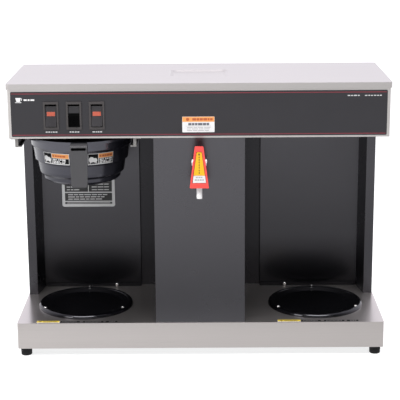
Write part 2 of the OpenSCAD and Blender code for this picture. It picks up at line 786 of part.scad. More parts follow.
// Solenoid inlet valve: brass body with its coil on top
module inlet_valve() color("goldenrod") in_frame() translate(valve_at) {
    difference() {
        union() {
            block([-16, -12, 0.1], [16, 12, 18]);
            rod_x(0, 9, 5, -26, 26);
            translate([0, 0, 18]) cylinder(r = 7, h = 34);
            translate([0, 0, 20]) cylinder(r = 15, h = 30);
        }
        translate([0, 0, 9]) cylinder(r = 5, h = 40);
        rod_x(0, 9, 3, -30, 30);
    }
}

module valve_plunger() color("silver") in_frame()
    translate(valve_at + [0, 0, 12.5]) cylinder(r = 4.94, h = 28);

limit_at = [-18, tank_y + 28, tank_top + 4.1];

// Manual-reset limit thermostat on the tank lid
module limit_thermostat() color("dimgray") in_frame() translate(limit_at) difference() {
    union() {
        cylinder(r = 8, h = 7);
        cylinder(r = 11, h = 1.2);
    }
    translate([0, 0, 2.5]) cylinder(r = 2.55, h = 10);
}

module reset_button() color("red") in_frame() translate(limit_at + [0, 0, 4.6]) cylinder(r = 2.5, h = 4.6);

// The silicone tubes to the sprayhead, from the valve, to the valve and to the faucet
module water_tubes() color("ivory") in_frame() {
    spray_tube_z = floor_z + 34;
    valve_z = valve_at.z + 9;
    port_y = tank_y + 36;
    pipe([[-36, tank_y, tank_top - 20], [-36, tank_y, spray_tube_z], [-station_x, tank_y, spray_tube_z],
          [-station_x, station_y, spray_tube_z], [-station_x, station_y, floor_z + 16.2]], 4.6);
    pipe([[0, port_y, tank_z + 30], [0, port_y, floor_z + 20], [-70, port_y, floor_z + 20],
          [-70, valve_at.y, floor_z + 20], [-70, valve_at.y, valve_z],
          [valve_at.x + 26.1, valve_at.y, valve_z]], 3.8);
    pipe([[valve_at.x - 26.1, valve_at.y, valve_z], [-140, valve_at.y, valve_z], [-140, 198, valve_z],
          [inlet_x, 198, valve_z], [inlet_x, 198, inlet_z], [inlet_x, rear_y - 2.1, inlet_z]], 3.8);
    pipe([[0, 18.1, shank_z], [0, 24, shank_z], [0, 24, tank_top + 14],
          [0, tank_y - 46, tank_top + 14], [0, tank_y - 46, tank_top - 30]], 3.6);
}

// Quarter-inch flare fitting through the rear cover
module inlet_fitting() color("goldenrod") in_frame() difference() {
    union() {
        rod_y(inlet_x, inlet_z, 8, rear_y - 2, rear_y + sheet + 0.1);
        translate([inlet_x, rear_y + sheet + 0.1, inlet_z])
            rotate([-90, 0, 0]) cylinder(r = 9.5, h = 5, $fn = 6);
        rod_y(inlet_x, inlet_z, 5.56, rear_y + sheet + 5, inlet_end_y);
    }
    rod_y(inlet_x, inlet_z, 3.2, rear_y - 4, rear_y + 30);
}

board_at = [130, 60, floor_z + sheet];

// Timer board on four standoffs, with a relay, a transformer and a terminal strip
module timer_board() color("seagreen") in_frame() translate(board_at) {
    block([-45, -32, 8], [45, 32, 9.6]);
    for (x = [-40, 40], y = [-27, 27]) translate([x, y, 0.1]) cylinder(r = 3, h = 8, $fn = 24);
    block([-38, -20, 9.5], [-14, 8, 29]);
    block([-4, -22, 9.5], [12, 4, 24]);
    block([-30, 16, 9.5], [30, 26, 19]);
    translate([30, -14, 9.5]) cylinder(r = 6, h = 14, $fn = 24);
}

// Leads from the switches, the heater and the warmers to the board
module wiring() color("firebrick") in_frame() {
    board_x = board_at.x - 45.1;
    strip_y = board_at.y + 26.1;
    lead_z = floor_z + 12;
    for (i = [0:2]) {
        y = 40 + 6 * i;
        pipe([[switch_x[i], 29.1, switch_z], [switch_x[i], y, switch_z], [switch_x[i], y, lead_z],
              [board_x, y, lead_z]], 1.5);
    }
    for (side = [-1, 1]) {
        y = tank_y - (side < 0 ? 42 : 34);
        x = side * 24;
        pipe([[x, tank_y - 30, tank_top + 20.1], [x, tank_y - 30, lead_z], [x, y, lead_z],
              [board_x, y, lead_z]], 1.5);
    }
    for (side = [-1, 1]) {
        z = floor_z + (side < 0 ? 24 : 18);
        x = board_at.x + (side < 0 ? 5 : -15);
        pipe([[side * station_x, station_y + 32, tray_z - 14], [side * station_x, riser.y, tray_z - 14],
              [side * riser.x, riser.y, tray_z - 14], [side * riser.x, riser.y, z], [x, riser.y, z],
              [x, strip_y + 8, z], [x, strip_y + 8, floor_z + 15], [x, strip_y, floor_z + 15]], 2);
    }
}

// Cord grip in the rear cover
module strain_relief() color("dimgray") in_frame() difference() {
    union() {
        rod_y(cord_x, cord_hole_z, 7.8, rear_y - 3, rear_y + sheet + 0.1);
        rod_y(cord_x, cord_hole_z, 11, rear_y + sheet + 0.1, rear_y + sheet + 4);
    }
    rod_y(cord_x, cord_hole_z, cord_r + 0.1, rear_y - 5, rear_y + 10);
}

// Cord and moulded plug, folded into a bundle behind the rear cover, with a tie round it
module power_cord() color("#222222") in_frame() {
    turn = 9;
    low = tray_z + 8;
    high = tray_z + 108;
    tie_z = tray_z + 66;
    pipe([[board_at.x + 20, board_at.y + 26.1, floor_z + 15.4], [cord_x, cord_rise_y, floor_z + 15.4],
          [cord_x, cord_rise_y, cord_hole_z], [cord_x, cord_y, cord_hole_z], [cord_x, cord_y, low]], cord_r);
    for (i = [0:3]) {
        x = cord_x + turn + 2 * turn * i;
        translate([x, cord_y, i % 2 == 0 ? low : high])
            rotate([90, 0, 0]) rotate([0, 0, i % 2 == 0 ? 180 : 0])
                rotate_extrude(angle = 180) translate([turn, 0]) circle(cord_r);
        translate([x + turn, cord_y, low]) cylinder(r = cord_r, h = high - low);
    }
    translate([cord_x + 8 * turn, cord_y, low - 22]) {
        cylinder(r = 7.5, h = 22.1);
        block([-9, -5, -8], [9, 8, 1]);
        for (x = [-6.4, 6.4]) block([x - 0.8, -3, -24], [x + 0.8, 3.4, -7.9]);
        translate([0, 5.5, -26]) cylinder(r = 2.3, h = 19, $fn = 24);
    }
    difference() {
        block([cord_x + 8, cord_y - 5.6, tie_z], [cord_x + 8 * turn + 8, cord_y + 5.6, tie_z + 6]);
        block([cord_x + 9, cord_y - 4.6, tie_z - 1], [cord_x + 8 * turn + 7, cord_y + 4.6, tie_z + 7]);
    }
}

base_tray();
base_pan();
rubber_feet();
foot_screws();
warmer_plate_left();
warmer_plate_right();
warmer_elements();
element_clamps();
warmer_screws();
trunk_post_left();
trunk_post_right();
bay_panel_left();
bay_panel_right();
column_cover();
rear_cover();
panel_screws();
hood_wrap();
hood_floor();
top_lid();
control_overlay();
switch_housings();
switch_terminals();
power_rocker();
start_rocker();
warmer_rocker();
power_lens();
warmer_lens();
rating_plate();
caution_plates();
funnel_rail_left();
funnel_rail_right();
sprayhead();
sprayhead_seal();
brew_funnel();
funnel_handle();
handle_screws();
faucet_body();
faucet_spout();
faucet_stem();
faucet_seat_cup();
faucet_handle();
faucet_pin();
faucet_nut();
tank();
tank_gasket();
tank_lid();
tank_bolts();
heater_element();
thermostat();
thermostat_knob();
inlet_valve();
valve_plunger();
limit_thermostat();
reset_button();
water_tubes();
inlet_fitting();
timer_board();
wiring();
strain_relief();
power_cord();
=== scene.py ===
import math

import bmesh
import bpy
from mathutils import Matrix, Vector


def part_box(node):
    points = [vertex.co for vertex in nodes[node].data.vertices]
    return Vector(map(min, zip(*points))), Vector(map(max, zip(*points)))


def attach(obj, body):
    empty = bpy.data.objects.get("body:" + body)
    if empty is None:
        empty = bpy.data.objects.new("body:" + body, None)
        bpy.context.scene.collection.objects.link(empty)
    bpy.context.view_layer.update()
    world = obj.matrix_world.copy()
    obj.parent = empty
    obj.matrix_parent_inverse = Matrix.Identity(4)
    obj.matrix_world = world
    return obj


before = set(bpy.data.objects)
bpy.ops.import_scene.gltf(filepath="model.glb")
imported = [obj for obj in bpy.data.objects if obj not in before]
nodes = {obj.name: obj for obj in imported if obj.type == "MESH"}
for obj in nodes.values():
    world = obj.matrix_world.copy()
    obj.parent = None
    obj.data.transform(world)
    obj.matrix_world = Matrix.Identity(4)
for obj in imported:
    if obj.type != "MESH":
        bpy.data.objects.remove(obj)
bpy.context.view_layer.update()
MM = 0.001


# ---------------------------------------------------------------- places, from the frame

def middle(node):
    lo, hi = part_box(node)
    return (lo + hi) / 2


hood_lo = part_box("hood_wrap")[0]
tray_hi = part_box("base_tray")[1]
overlay_lo, overlay_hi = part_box("control_overlay")
funnel_lo, funnel_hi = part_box("brew_funnel")
plate_lo, plate_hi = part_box("caution_plates")
rating_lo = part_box("rating_plate")[0]
lever_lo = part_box("faucet_handle")[0]
front = hood_lo.y                       # the front plane of the tray and the hood
flange_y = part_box("column_cover")[1].y - 2 * MM     # just before the column cover's rear flanges
plate_t = 0.4 * MM                      # thickness of a stuck-on plate, and depth of the lever's flat


# ---------------------------------------------------------------- materials

def new_material(name):
    mat = bpy.data.materials.new(name)
    mat.use_nodes = True
    tree = mat.node_tree
    tree.nodes.clear()
    return mat, tree


def add_node(tree, kind, **values):
    node = tree.nodes.new(kind)
    for key, value in values.items():
        setattr(node, key, value)
    return node


def set_inputs(node, **values):
    for key, value in values.items():
        node.inputs[key.replace("_", " ")].default_value = value


def object_coords(tree, scale=(1, 1, 1)):
    """Object coordinates, so patterns stay at real scale and need no UVs."""
    coords = add_node(tree, "ShaderNodeTexCoord")
    mapping = add_node(tree, "ShaderNodeMapping")
    mapping.inputs["Scale"].default_value = scale
    tree.links.new(coords.outputs["Object"], mapping.inputs["Vector"])
    return mapping.outputs["Vector"]


def noise(tree, vector, scale, detail=3.0, roughness=0.5):
    node = add_node(tree, "ShaderNodeTexNoise")
    set_inputs(node, Scale=scale, Detail=detail, Roughness=roughness)
    tree.links.new(vector, node.inputs["Vector"])
    return node.outputs["Fac"]


def remap(tree, value, low, high, low_in=0.3, high_in=0.7):
    node = add_node(tree, "ShaderNodeMapRange")
    node.inputs["From Min"].default_value = low_in
    node.inputs["From Max"].default_value = high_in
    node.inputs["To Min"].default_value = low
    node.inputs["To Max"].default_value = high
    tree.links.new(value, node.inputs["Value"])
    return node.outputs["Result"]


def grey(level):
    return (level, level, level)


def mix_colours(tree, factor, a, b):
    node = add_node(tree, "ShaderNodeMix", data_type="RGBA")
    tree.links.new(factor, node.inputs["Factor"])
    for socket, value in ((node.inputs[6], a), (node.inputs[7], b)):
        if isinstance(value, tuple):
            socket.default_value = (*value, 1)
        else:
            tree.links.new(value, socket)
    return node.outputs[2]


def split(tree, vector):
    """The X, Y and Z of a vector, by name."""
    node = add_node(tree, "ShaderNodeSeparateXYZ")
    tree.links.new(vector, node.inputs["Vector"])
    return node.outputs


def vector_math(tree, operation, first, second=None):
    """A vector operation on sockets or, in second place, on a constant."""
    node = add_node(tree, "ShaderNodeVectorMath", operation=operation)
    tree.links.new(first, node.inputs[0])
    if isinstance(second, tuple):
        node.inputs[1].default_value = second
    elif second is not None:
        tree.links.new(second, node.inputs[1])
    return node.outputs["Value" if operation in ("DOT_PRODUCT", "LENGTH") else "Vector"]


def bump(tree, height, strength, distance):
    node = add_node(tree, "ShaderNodeBump")
    set_inputs(node, Strength=strength, Distance=distance)
    tree.links.new(height, node.inputs["Height"])
    return node.outputs["Normal"]


def finish_surface(tree, colour, roughness, normal=None, **settings):
    shader = add_node(tree, "ShaderNodeBsdfPrincipled")
    output = add_node(tree, "ShaderNodeOutputMaterial")
    for socket, value in (("Base Color", colour), ("Roughness", roughness), ("Normal", normal)):
        if value is None:
            continue
        if isinstance(value, tuple):
            shader.inputs[socket].default_value = (*value, 1)
        elif isinstance(value, (int, float)):
            shader.inputs[socket].default_value = value
        else:
            tree.links.new(value, shader.inputs[socket])
    for key, value in settings.items():
        shader.inputs[key.replace("_", " ")].default_value = value
    tree.links.new(shader.outputs["BSDF"], output.inputs["Surface"])
    return shader


# Direction of the brushing along each axis, a little off it, and the axis it takes on the faces at the ends
BRUSH_WAY = {"X": (1, 0.03, 0), "Y": (0.03, 1, 0), "Z": (0.03, 0, 1)}
END_WAY = {"X": "Y", "Y": "X", "Z": "X"}
GRAIN_ALONG = 6        # grains per metre along the brushing
GRAIN_ACROSS = 1400    # and across it


def brushed_metal(name, colour, along="X", roughness=(0.3, 0.36), anisotropic=0.6):
    """Sheet metal brushed along one axis, with faint handling marks."""
    mat, tree = new_material(name)
    scale = tuple(GRAIN_ALONG if axis == along else GRAIN_ACROSS for axis in "XYZ")
    grain = noise(tree, object_coords(tree, scale), 1.0, 3.0, 0.6)
    smudge = noise(tree, object_coords(tree), 5.0)
    shade = tuple(c * 0.95 for c in colour)
    tint = mix_colours(tree, remap(tree, grain, 0, 1), shade, colour)
    rough = remap(tree, smudge, roughness[0], roughness[1])
    shader = finish_surface(tree, tint, rough, bump(tree, grain, 0.08, 0.00003),
                            Metallic=1.0, Anisotropic=anisotropic)
    # The highlight spreads across the brushing, so the tangent is the surface's normal crossed with it.
    # Faces that look more along the brushing than across it are brushed the other way.
    geometry = add_node(tree, "ShaderNodeNewGeometry")
    facing = vector_math(tree, "DOT_PRODUCT", geometry.outputs["True Normal"], BRUSH_WAY[along])
    squared = add_node(tree, "ShaderNodeMath", operation="POWER")
    squared.inputs[1].default_value = 2
    tree.links.new(facing, squared.inputs[0])
    is_end = remap(tree, squared.outputs["Value"], 0, 1, 0.5, 0.51)
    way = mix_colours(tree, is_end, BRUSH_WAY[along], BRUSH_WAY[END_WAY[along]])
    across = vector_math(tree, "CROSS_PRODUCT", geometry.outputs["Normal"], way)
    tree.links.new(across, shader.inputs["Tangent"])
    return mat


GLOSS = 0.5            # specular level of a surface with its full gloss


def paint(name, colour, roughness=(0.24, 0.3), peel=0.04, ior=1.9, fade=None):
    """Sprayed sheet: fine orange peel and faint dust.

    fade is an axis and two pairs of a place on it and a gloss, between which the gloss changes.
    """
    mat, tree = new_material(name)
    fine = noise(tree, object_coords(tree), 900.0, 2.0, 0.5)
    broad = noise(tree, object_coords(tree), 7.0, 5.0, 0.6)
    dusty = tuple(min(1, c * 1.15 + 0.0008) for c in colour)
    tint = mix_colours(tree, remap(tree, broad, 0, 1, 0.4, 0.75), colour, dusty)
    rough = remap(tree, broad, roughness[0], roughness[1])
    shader = finish_surface(tree, tint, rough, bump(tree, fine, peel, 0.0001), IOR=ior,
                            Specular_Tint=(0.93, 0.91, 1, 1))
    if fade is not None:
        axis, (start, start_gloss), (end, end_gloss) = fade
        gloss = remap(tree, split(tree, object_coords(tree))[axis], start_gloss, end_gloss, start, end)
        tree.links.new(gloss, shader.inputs["Specular IOR Level"])
    return mat


def plastic(name, colour, roughness=(0.25, 0.35), grain_scale=1500.0, grain=0.06, **settings):
    """Moulded plastic with a fine mould texture and slightly uneven gloss."""
    mat, tree = new_material(name)
    fine = noise(tree, object_coords(tree), grain_scale, 2.0, 0.5)
    broad = noise(tree, object_coords(tree), 22.0, 4.0, 0.55)
    lighter = tuple(min(1, c * 1.12 + 0.002) for c in colour)
    tint = mix_colours(tree, remap(tree, broad, 0, 1), colour, lighter)
    rough = remap(tree, broad, roughness[0], roughness[1])
    finish_surface(tree, tint, rough, bump(tree, fine, grain, 0.0001), **settings)
    return mat


def rubber(name, colour):
    return plastic(name, colour, (0.62, 0.78), 700.0, 0.25, Specular_IOR_Level=0.35)


def turned_metal(name, colour, roughness=(0.16, 0.28)):
    """Bright machined metal: screws, pins, nuts and fittings."""
    mat, tree = new_material(name)
    marks = noise(tree, object_coords(tree), 1800.0, 2.0, 0.5)
    stain = noise(tree, object_coords(tree), 120.0)
    tint = mix_colours(tree, remap(tree, stain, 0, 1), tuple(c * 0.86 for c in colour), colour)
    rough = remap(tree, stain, roughness[0], roughness[1])
    finish_surface(tree, tint, rough, bump(tree, marks, 0.08, 0.00005), Metallic=1.0)
    return mat


def ink(name, colour, roughness=(0.45, 0.55), **settings):
    """Printed ink or label film, with a faint unevenness in its coverage."""
    mat, tree = new_material(name)
    cover = noise(tree, object_coords(tree), 300.0)
    tint = mix_colours(tree, remap(tree, cover, 0, 1), tuple(c * 0.93 for c in colour), colour)
    rough = remap(tree, cover, roughness[0], roughness[1])
    finish_surface(tree, tint, rough, bump(tree, cover, 0.03, 0.00005), **settings)
    return mat


stainless = brushed_metal("stainless_brushed", (0.545, 0.52, 0.515), "X")
hood_steel = brushed_metal("stainless_hood", (0.6, 0.575, 0.565), "X")
tray_steel = brushed_metal("stainless_tray", (0.6, 0.562, 0.552), "X", (0.28, 0.34), 0.55)
stainless_side = brushed_metal("stainless_rails", (0.3, 0.29, 0.285), "Y", (0.36, 0.46))
zinc_sheet = brushed_metal("zinc_coated_sheet", (0.52, 0.53, 0.54), "Z", (0.38, 0.52), 0.2)
tank_steel = brushed_metal("tank_steel", (0.58, 0.58, 0.58), "Z", (0.3, 0.45), 0.3)
black_paint = paint("black_powder_coat", (0.002, 0.002, 0.0024), ior=1.8)
# The bay panels lose gloss towards the tray: painted shade over their lower part.
bay_paint = paint("black_bay_coat", (0.0016, 0.0016, 0.002), (0.22, 0.28), ior=1.72,
                  fade=("Z", (tray_hi.z + 5 * MM, 0.12), (tray_hi.z + 95 * MM, GLOSS)))
column_paint = paint("black_column_coat", (0.0028, 0.0028, 0.0032),
                     fade=("Y", (flange_y - 2 * MM, GLOSS), (flange_y, 0.17)))
enamel = paint("black_enamel", (0.0012, 0.0012, 0.0016), (0.06, 0.12), 0.02, 1.5)
overlay_film = plastic("overlay_film", (0.014, 0.013, 0.017), (0.36, 0.44), 1200.0, 0.1)
switch_plastic = plastic("switch_plastic", (0.02, 0.018, 0.021), (0.34, 0.44))
lens_plastic = plastic("lens_plastic", (0.42, 0.085, 0.05), (0.25, 0.35), Transmission_Weight=0.1)
funnel_plastic = plastic("funnel_plastic", (0.01, 0.01, 0.014), (0.17, 0.25), 1500.0, 0.03, IOR=1.95,
                         Specular_Tint=(0.86, 0.86, 1, 1))
grip_plastic = plastic("grip_plastic", (0.05, 0.049, 0.053), (0.5, 0.62), 900.0, 0.2)
white_plastic = plastic("white_plastic", (0.74, 0.74, 0.74), (0.25, 0.35))
spout_plastic = plastic("spout_plastic", (0.86, 0.86, 0.87), (0.2, 0.3), Transmission_Weight=0.1)
red_plastic = plastic("red_plastic", (0.84, 0.065, 0.055), (0.3, 0.4))
silicone = plastic("silicone", (0.66, 0.62, 0.55), (0.45, 0.6), 500.0, 0.1)
seal_red = plastic("seal_silicone", (0.45, 0.05, 0.03), (0.45, 0.6), 500.0, 0.1)
foot_rubber = rubber("foot_rubber", (0.006, 0.006, 0.007))
cord_rubber = rubber("cord_rubber", (0.018, 0.018, 0.019))
wire_cover = plastic("wire_cover", (0.35, 0.03, 0.03), (0.4, 0.5))
knob_plastic = plastic("knob_plastic", (0.02, 0.02, 0.021), (0.4, 0.5))
control_plastic = plastic("control_plastic", (0.25, 0.26, 0.28), (0.45, 0.6))
bright_steel = turned_metal("bright_steel", (0.80, 0.79, 0.78))
brass = turned_metal("brass", (0.80, 0.60, 0.28), (0.2, 0.34))
heater_steel = turned_metal("heater_sheath", (0.26, 0.24, 0.22), (0.4, 0.6))
mica = paint("heating_disc", (0.34, 0.27, 0.18), (0.5, 0.7))
solder_mask = plastic("solder_mask", (0.02, 0.16, 0.07), (0.3, 0.4))
label_white = ink("label_white", (0.74, 0.735, 0.74))
label_pale = ink("label_pale", (0.5, 0.5, 0.51))
label_orange = ink("label_orange", (0.80, 0.33, 0.09))
label_yellow = ink("label_yellow", (0.88, 0.46, 0.006))
label_lemon = ink("label_lemon", (0.6, 0.44, 0.05))
label_dark = ink("label_dark", (0.03, 0.03, 0.032))
label_black = ink("label_black", (0.006, 0.006, 0.007), (0.7, 0.8), Specular_IOR_Level=0.1)
label_slate = ink("label_slate", (0.12, 0.12, 0.14))
label_grey = ink("label_grey", (0.35, 0.35, 0.36))
label_silver = ink("label_silver", (0.6, 0.6, 0.61), (0.3, 0.4), Metallic=0.4)
label_crimson = ink("label_crimson", (0.3, 0.03, 0.02))
label_rust = ink("label_rust", (0.45, 0.10, 0.03))
label_olive = ink("label_olive", (0.16, 0.11, 0.01))
stripe_red = ink("stripe_red", (0.2, 0.022, 0.035))


def two_tone(name, node, upper, lower):
    """Moulded plastic, matt black over the lower two thirds of a node, and lighter and glossier above."""
    heights = [corner[2] for corner in node.bound_box]
    border = min(heights) + 0.66 * (max(heights) - min(heights))
    soft = 0.6 * MM
    mat, tree = new_material(name)
    height = split(tree, object_coords(tree))["Z"]
    above = remap(tree, height, 0, 1, border - soft, border + soft)
    broad = noise(tree, object_coords(tree), 22.0, 4.0, 0.55)
    shader = finish_surface(tree, mix_colours(tree, above, lower, upper), remap(tree, broad, 0.3, 0.42),
                            bump(tree, broad, 0.03, 0.0001))
    tree.links.new(remap(tree, above, 0.06, GLOSS, 0, 1), shader.inputs["Specular IOR Level"])
    return mat


bezel_plastic = plastic("bezel_plastic", (0.036, 0.031, 0.032), (0.3, 0.4), 700.0, 0.05)
start_plastic = two_tone("start_plastic", nodes["start_rocker"],
                         (0.02, 0.019, 0.022), (0.0006, 0.0006, 0.0008))

NODE_MATERIALS = {
    stainless: ["top_lid"],
    hood_steel: ["hood_wrap"],
    tray_steel: ["base_tray"],
    zinc_sheet: ["base_pan", "rear_cover", "hood_floor", "element_clamps"],
    black_paint: ["trunk_post_left", "trunk_post_right"],
    bay_paint: ["bay_panel_left", "bay_panel_right"],
    column_paint: ["column_cover"],
    enamel: ["warmer_plate_left", "warmer_plate_right"],
    mica: ["warmer_elements"],
    bright_steel: ["panel_screws", "warmer_screws", "handle_screws", "foot_screws", "tank_bolts", "faucet_pin",
                   "faucet_stem", "valve_plunger"],
    foot_rubber: ["rubber_feet"],
    overlay_film: ["control_overlay"],
    bezel_plastic: ["switch_housings"],
    switch_plastic: ["power_rocker", "warmer_rocker"],
    start_plastic: ["start_rocker"],
    lens_plastic: ["power_lens", "warmer_lens"],
    brass: ["switch_terminals", "faucet_nut", "inlet_fitting", "inlet_valve"],
    label_white: ["caution_plates"],
    label_silver: ["rating_plate"],
    stainless_side: ["funnel_rail_left", "funnel_rail_right", "sprayhead"],
    funnel_plastic: ["brew_funnel"],
    grip_plastic: ["funnel_handle"],
    white_plastic: ["faucet_body"],
    spout_plastic: ["faucet_spout"],
    red_plastic: ["faucet_handle", "reset_button"],
    silicone: ["faucet_seat_cup", "tank_gasket", "water_tubes"],
    seal_red: ["sprayhead_seal"],
    tank_steel: ["tank", "tank_lid"],
    heater_steel: ["heater_element"],
    control_plastic: ["thermostat", "limit_thermostat"],
    knob_plastic: ["thermostat_knob"],
    solder_mask: ["timer_board"],
    wire_cover: ["wiring"],
    cord_rubber: ["power_cord", "strain_relief"],
}
for material, names in NODE_MATERIALS.items():
    for name in names:
        slots = nodes[name].data.materials
        slots.clear()
        slots.append(material)

# Edges are broken with a small bevel, so that they catch the light as real edges do.
BEVELS = {
    0.9: ["base_tray", "hood_wrap", "top_lid"],
    0.5: ["trunk_post_left", "trunk_post_right", "bay_panel_left", "bay_panel_right", "column_cover"],
    0.7: ["switch_housings"],
    0.35: ["power_rocker", "start_rocker", "warmer_rocker", "funnel_rail_left", "funnel_rail_right",
           "faucet_handle", "faucet_body", "funnel_handle"],
    0.15: ["power_lens", "warmer_lens"],
}


def soften(obj, width):
    weld = obj.modifiers.new("weld", "WELD")
    weld.merge_threshold = 0.01 * MM
    # Triangles in one plane become one face first, or the bevel folds the slivers around a hole over.
    flat = obj.modifiers.new("flat", "DECIMATE")
    flat.decimate_type = "DISSOLVE"
    flat.angle_limit = math.radians(0.5)
    bevel = obj.modifiers.new("edge", "BEVEL")
    bevel.width = width * MM
    bevel.segments = 2
    bevel.limit_method = "ANGLE"
    bevel.angle_limit = math.radians(40)
    obj.modifiers.new("normals", "WEIGHTED_NORMAL").keep_sharp = True


for width, names in BEVELS.items():
    for name in names:
        soften(nodes[name], width)


# ---------------------------------------------------------------- printed film, ink and labels

def flat_place(origin, along, upward):
    """Maps (u, v, height) in millimetres on a flat face to a point in the frame."""
    start, u_dir, v_dir = Vector(origin), Vector(along), Vector(upward)
    out = u_dir.cross(v_dir)
    return lambda u, v, height: start + (u_dir * u + v_dir * v + out * height) * MM


def cone_place(axis, z_low, r_low, z_high, r_high):
    """Maps (u, v, height) on a conical wall, with u measured round the wall from its front."""
    middle_r = (r_low + r_high) / 2
    slope = (r_high - r_low) / (z_high - z_low)

    def place(u, v, height):
        angle = u / middle_r
        r = (r_low + slope * v + height) * MM
        return Vector((axis.x + r * math.sin(angle), axis.y - r * math.cos(angle), (z_low + v) * MM))
    return place


def bar(u0, v0, u1, v1):
    return [(u0, v0), (u1, v0), (u1, v1), (u0, v1)]


def rounded_bar(u0, v0, u1, v1, r, steps=5):
    centres = [(u1 - r, v0 + r, -90), (u1 - r, v1 - r, 0), (u0 + r, v1 - r, 90), (u0 + r, v0 + r, 180)]
    points = []
    for cu, cv, start in centres:
        for i in range(steps + 1):
            a = math.radians(start + 90 * i / steps)
            points.append((cu + r * math.cos(a), cv + r * math.sin(a)))
    return points


def disc(cu, cv, r, steps=20):
    return [(cu + r * math.cos(2 * math.pi * i / steps), cv + r * math.sin(2 * math.pi * i / steps))
            for i in range(steps)]


def ring_part(cu, cv, r0, r1, a0, a1, steps=10):
    """A piece of a ring, between two angles in degrees."""
    angles = [math.radians(a0 + (a1 - a0) * i / steps) for i in range(steps + 1)]
    outer = [(cu + r1 * math.cos(a), cv + r1 * math.sin(a)) for a in angles]
    inner = [(cu + r0 * math.cos(a), cv + r0 * math.sin(a)) for a in reversed(angles)]
    return outer + inner


def add_prism(bm, place, outline, low, high):
    bottom = [bm.verts.new(place(u, v, low)) for u, v in outline]
    top = [bm.verts.new(place(u, v, high)) for u, v in outline]
    bm.faces.new(top)
    bm.faces.new(list(reversed(bottom)))
    for i in range(len(outline)):
        j = (i + 1) % len(outline)
        bm.faces.new((bottom[i], bottom[j], top[j], top[i]))


def add_wrapped_bar(bm, place, u0, v0, u1, v1, low, high):
    """A bar split into short spans, so that it follows a round wall."""
    spans = max(1, math.ceil((u1 - u0) / 2.5))
    rows = []
    for i in range(spans + 1):
        u = u0 + (u1 - u0) * i / spans
        corners = ((v0, low), (v1, low), (v1, high), (v0, high))
        rows.append([bm.verts.new(place(u, v, h)) for v, h in corners])
    for a, b in zip(rows, rows[1:]):
        for i in range(4):
            j = (i + 1) % 4
            bm.faces.new((a[i], a[j], b[j], b[i]))
    bm.faces.new(list(reversed(rows[0])))
    bm.faces.new(rows[-1])


def make_piece(name, bm, material, body):
    bmesh.ops.recalc_face_normals(bm, faces=bm.faces)
    mesh = bpy.data.meshes.new(name)
    bm.to_mesh(mesh)
    bm.free()
    mesh.materials.append(material)
    piece = bpy.data.objects.new(name, mesh)
    bpy.context.scene.collection.objects.link(piece)
    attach(piece, body)
    return piece


# Lower and upper face of each printed layer, in millimetres from the face that its place maps
FILM = (0, 0.08)
ON_FILM = (0.08, 0.14)
ON_TRAY = (-0.38, -0.3)     # on the tray itself, beside its strips
LEVER_EDGE = (0, 0.06)
LEVER_FIELD = (0.06, 0.12)
LEVER_PRINT = (0.12, 0.18)
FUNNEL_BASE = (0.02, 0.12)
FUNNEL_FIELD = (0.12, 0.18)
FUNNEL_PICTURE = (0.16, 0.28)
FUNNEL_PRINT = (0.17, 0.24)

DASH_SPACE = 1.1            # between the bars of a caption


def printed(name, place, outlines, material, body, layer=FILM):
    """Flat shapes of one colour on one face, as one piece."""
    bm = bmesh.new()
    for outline in outlines:
        add_prism(bm, place, outline, *layer)
    return make_piece(name, bm, material, body)


def wrapped(name, place, bars, material, body, layer=FILM):
    """Bars of one colour that follow a round wall, as one piece."""
    bm = bmesh.new()
    for u0, v0, u1, v1 in bars:
        add_wrapped_bar(bm, place, u0, v0, u1, v1, *layer)
    return make_piece(name, bm, material, body)


def dashes(u0, v0, lengths, height, space=DASH_SPACE):
    """A row of small bars that stands for a caption, with no letters."""
    shapes = []
    for length in lengths:
        shapes.append(bar(u0, v0, u0 + length, v0 + height))
        u0 += length + space
    return shapes


# Control overlay: two pinstripes, a cup mark, a row of dashes and a caption under each switch
overlay_mid = middle("control_overlay")
face = flat_place((overlay_mid.x, overlay_lo.y, overlay_lo.z), (1, 0, 0), (0, 0, 1))
half_w = (overlay_hi.x - overlay_lo.x) / 2 / MM
height = (overlay_hi.z - overlay_lo.z) / MM
stripes = [bar(1.5 - half_w, v, half_w - 1.5, v + 1.2) for v in (2.2, height - 3.8)]
printed("overlay_stripes", face, stripes, stripe_red, "housing")

cup_u, cup_v = 8 - half_w, height - 17
cup = [
    [(cup_u, cup_v + 7.5), (cup_u + 1.6, cup_v + 1.2), (cup_u + 7, cup_v + 1.2), (cup_u + 8.6, cup_v + 7.5)],
    ring_part(cup_u + 8.4, cup_v + 4.9, 1.2, 2.1, -80, 90),
    bar(cup_u - 0.8, cup_v - 0.4, cup_u + 9.4, cup_v + 0.5),
]
cup += dashes(cup_u + 13, cup_v + 2.8, (5, 3, 6), 2.4, 1.4)
printed("overlay_mark", face, cup, label_white, "housing")
badge_v = height - 9.5
badge = dashes(half_w - 63, badge_v, (4, 3, 5, 3), 1.8, 1.3)
badge += dashes(half_w - 36, badge_v, (4, 3, 3, 4, 3, 3), 1.6, 1.3)
printed("overlay_badge", face, badge, label_pale, "housing")

CAPTIONS = {"power_rocker": (3, 3, 2, 3, 3), "start_rocker": (3, 3, 3, 3), "warmer_rocker": (4, 2, 3, 3)}
for node, lengths in CAPTIONS.items():
    width = sum(lengths) + DASH_SPACE * (len(lengths) - 1)
    centre_u = (middle(node).x - overlay_mid.x) / MM
    caption = dashes(centre_u - width / 2, 6.6, lengths, 2)
    printed(node + "_caption", face, caption, label_pale, "housing")

